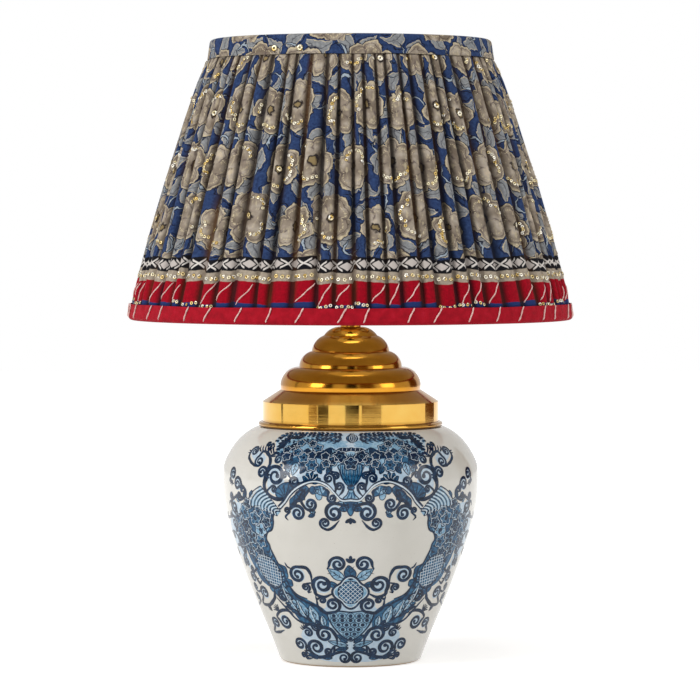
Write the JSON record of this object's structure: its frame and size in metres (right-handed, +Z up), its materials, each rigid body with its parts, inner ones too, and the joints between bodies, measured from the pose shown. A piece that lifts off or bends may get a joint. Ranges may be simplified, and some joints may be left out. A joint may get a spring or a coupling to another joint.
{
  "type": "jar table lamp",
  "caption": "Table lamp: a glazed jar under a stepped spun lid, with a gathered cloth shade held by a harp over a screw bulb and a turn-key holder.",
  "frame": {"origin": "on the table, under the middle of the jar's foot", "axes": "+Z up the lamp's axis; the turn key points to -Y, which is the front; the cord outlet faces +Y"},
  "size_m": [0.4527, 0.4528, 0.632],
  "materials": {
    "glaze": "glossy tin glaze",
    "brass": "aged polish",
    "steel": "zinc plated",
    "rubber": "matt",
    "board": "plain board",
    "phenolic": "moulded",
    "black_glass": "vitrified",
    "nickel": "rolled thread",
    "bulb_glass": "clear",
    "filament": "phosphor coated",
    "white_wire": "enamelled wire",
    "lining_cloth": "plain lining",
    "printed_cloth": "printed cloth",
    "red_cloth": "stitched edge"
  },
  "bodies": {
    "base": {"jar": "glaze", "cord_bush": "brass", "threaded_tube": "steel", "soft_washer": "rubber", "steel_washer": "steel", "clamp_nut": "steel", "brass_lid": "brass", "check_ring": "brass", "harp_saddle": "brass", "harp": "brass", "harp_stud": "brass", "finial": "brass", "holder_cap": "brass", "holder_grub_screw": "steel", "holder_shell": "brass", "holder_lining": "board", "holder_core": "phenolic", "terminal_live": "brass", "terminal_neutral": "steel", "screw_shell": "brass", "contact_tongue": "brass"},
    "turn_key": {"turn_key": "phenolic"},
    "ferrule_left": {"ferrule_left": "brass"},
    "ferrule_right": {"ferrule_right": "brass"},
    "bulb_tip": {"bulb_tip": "steel"},
    "bulb": {"bulb_insulator": "black_glass", "bulb_cap": "nickel", "bulb_glass": "bulb_glass", "bulb_stem": "bulb_glass", "bulb_filaments": "filament"},
    "shade": {"shade_top_ring": "white_wire", "shade_bottom_ring": "white_wire", "shade_struts": "white_wire", "spider_arms": "white_wire", "spider_hub": "brass", "shade_lining": "lining_cloth", "shade_cover": "printed_cloth", "top_binding": "printed_cloth", "bottom_binding": "red_cloth"}
  },
  "joints": [
    {"name": "key_turn", "type": "hinge", "parent": "base", "child": "turn_key", "pos_m": [0, -0.018, 0.3711], "axis": [0, -1, 0], "continuous": true},
    {"name": "ferrule_left_lift", "type": "slide", "parent": "base", "child": "ferrule_left", "axis": [0, 0, 1], "range_m": [0, 0.013]},
    {"name": "ferrule_right_lift", "type": "slide", "parent": "base", "child": "ferrule_right", "axis": [0, 0, 1], "range_m": [0, 0.013]},
    {"name": "bulb_lift", "type": "slide", "parent": "base", "child": "bulb_tip", "axis": [0, 0, 1], "range_m": [0, 0.0128]},
    {"name": "bulb_turn", "type": "hinge", "parent": "bulb_tip", "child": "bulb", "pos_m": [0, 0, 0.39], "axis": [0, 0, 1], "range_deg": [0, 1260]},
    {"name": "shade_swivel", "type": "hinge", "parent": "base", "child": "shade", "pos_m": [0, 0, 0.608], "axis": [0, 0, 1], "continuous": true}
  ],
  "couplings": [
    {"joint": "bulb_lift", "follows": "bulb_turn", "m_per_rad": 0.00057757}
  ]
}
